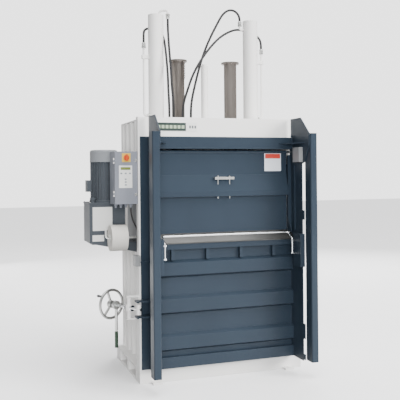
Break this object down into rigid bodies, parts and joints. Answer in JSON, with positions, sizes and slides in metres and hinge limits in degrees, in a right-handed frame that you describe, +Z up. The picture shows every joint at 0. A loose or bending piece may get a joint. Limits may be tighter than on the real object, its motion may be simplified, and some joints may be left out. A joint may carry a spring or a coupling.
{
  "type": "recycling baler",
  "caption": "Vertical baling press with a hinged door, swinging loading flap, twin cylinders on a guided platen, side power unit, control cabinet and strapping roll.",
  "frame": {"origin": "on the floor at the centre of the rectangle of the four floor anchors, which is the centre of the base", "axes": "+Z up; the door and loading flap face -Y; +X is to the right of someone who faces the door"},
  "size_m": [1.731, 1.263, 3.0825],
  "materials": {
    "light_paint": "semi-gloss powder coat",
    "blue_paint": "semi-gloss powder coat",
    "bare_steel": "oiled, slightly browned",
    "chrome": "hard chrome",
    "stainless": "brushed",
    "zinc": "zinc plated",
    "hose_rubber": "wrapped outer cover",
    "dark_paint": "machine enamel",
    "cabinet_paint": "fine texture powder coat",
    "grey_plastic": "fine texture",
    "red_plastic": "moulded",
    "panel_print": "printed film",
    "label": "film",
    "strapping": "woven polyester strapping",
    "green_rubber": "grip sleeve",
    "cast_aluminium": "cast, polished rim"
  },
  "bodies": {
    "frame": {"base_frame": "light_paint", "chamber_floor": "light_paint", "columns": "light_paint", "chamber_walls": "light_paint", "wall_stiffeners": "light_paint", "head_beams": "light_paint", "cylinder_beam": "light_paint", "deck_plates": "light_paint", "label_plates": "label", "frame_hinges": "light_paint", "limit_switch": "grey_plastic", "cylinder_barrels": "light_paint", "guide_bushes": "zinc", "sensor_tube": "light_paint", "steel_pipes": "zinc", "hose_fittings": "zinc", "hose_rod_left": "hose_rubber", "hose_cap_left": "hose_rubber", "hose_cap_right": "hose_rubber", "hose_rod_right": "hose_rubber", "power_bracket": "dark_paint", "oil_tank": "dark_paint", "tank_lid": "dark_paint", "gear_pump": "bare_steel", "motor_body": "dark_paint", "fan_cowl": "dark_paint", "cabinet": "cabinet_paint", "control_cable": "hose_rubber", "roll_holder": "zinc", "lock_bracket": "light_paint"},
    "press": {"platen": "blue_paint", "piston_rods": "chrome", "guide_tubes": "bare_steel", "flange_chain": "bare_steel"},
    "door": {"door_skin": "blue_paint", "door_bands": "blue_paint", "sill_lip": "stainless", "side_plates": "blue_paint", "door_posts": "blue_paint", "door_stiffeners": "blue_paint", "crossbeam": "blue_paint", "bar_brackets": "blue_paint", "flap_switch": "grey_plastic", "door_hinges": "blue_paint", "lock_fork": "blue_paint", "flap_rod": "chrome"},
    "flap": {"flap_panel": "blue_paint", "flap_handle": "zinc"},
    "safety_bar": {"safety_bar": "chrome"},
    "motor_fan": {"motor_fan": "grey_plastic"},
    "cabinet_door": {"cabinet_door": "cabinet_paint", "panel_plates": "panel_print"},
    "main_switch": {"switch_knob": "red_plastic"},
    "strap_roll": {"strap_roll": "strapping"},
    "lock_arm": {"lock_pivot": "light_paint"},
    "handwheel": {"lock_spindle": "chrome", "handwheel": "cast_aluminium"},
    "crank_grip": {"crank_grip": "grey_plastic"},
    "ratchet_lever": {"ratchet_lever": "zinc", "lever_grip": "green_rubber"}
  },
  "joints": [
    {"name": "press_stroke", "type": "slide", "parent": "frame", "child": "press", "axis": [0, 0, 1], "range_m": [-0.47, 0.21], "deforming": ["flange_chain"]},
    {"name": "door_swing", "type": "hinge", "parent": "frame", "child": "door", "pos_m": [0.672, -0.456, 1], "axis": [0, 0, 1], "range_deg": [0, 110]},
    {"name": "flap_swing", "type": "hinge", "parent": "door", "child": "flap", "pos_m": [0, -0.437, 1.812], "axis": [-1, 0, 0], "range_deg": [0, 80]},
    {"name": "bar_trip", "type": "hinge", "parent": "door", "child": "safety_bar", "pos_m": [0, -0.603, 0.985], "axis": [-1, 0, 0], "range_deg": [0, 12], "stiffness_Nm_per_rad": 20, "springref_deg": -17.19},
    {"name": "fan_spin", "type": "hinge", "parent": "frame", "child": "motor_fan", "pos_m": [-0.885, -0.001, 1.76], "axis": [0, 0, 1], "continuous": true},
    {"name": "cabinet_door_swing", "type": "hinge", "parent": "frame", "child": "cabinet_door", "pos_m": [-0.8833, -0.396, 1.61], "axis": [0, 0, -1], "range_deg": [0, 110]},
    {"name": "main_switch_turn", "type": "hinge", "parent": "cabinet_door", "child": "main_switch", "pos_m": [-0.788, -0.421, 1.767], "axis": [0, 1, 0], "range_deg": [0, 90]},
    {"name": "strap_roll_spin", "type": "hinge", "parent": "frame", "child": "strap_roll", "pos_m": [-0.836, -0.301, 1.138], "axis": [1, 0, 0], "continuous": true},
    {"name": "lock_swing", "type": "hinge", "parent": "frame", "child": "lock_arm", "pos_m": [-0.773, -0.392, 0.6], "axis": [0, 0, 1], "range_deg": [-22, 0]},
    {"name": "handwheel_spin", "type": "hinge", "parent": "lock_arm", "child": "handwheel", "pos_m": [-0.773, -0.392, 0.6], "axis": [0.4462, -0.8949, 0], "continuous": true},
    {"name": "crank_grip_spin", "type": "hinge", "parent": "handwheel", "child": "crank_grip", "pos_m": [-0.9497, -0.23539, 0.66895], "axis": [0.4462, -0.8949, 0], "continuous": true},
    {"name": "lever_swing", "type": "hinge", "parent": "lock_arm", "child": "ratchet_lever", "pos_m": [-0.8435, -0.2506, 0.6], "axis": [-0.4462, 0.8949, 0], "range_deg": [-20, 70]}
  ]
}
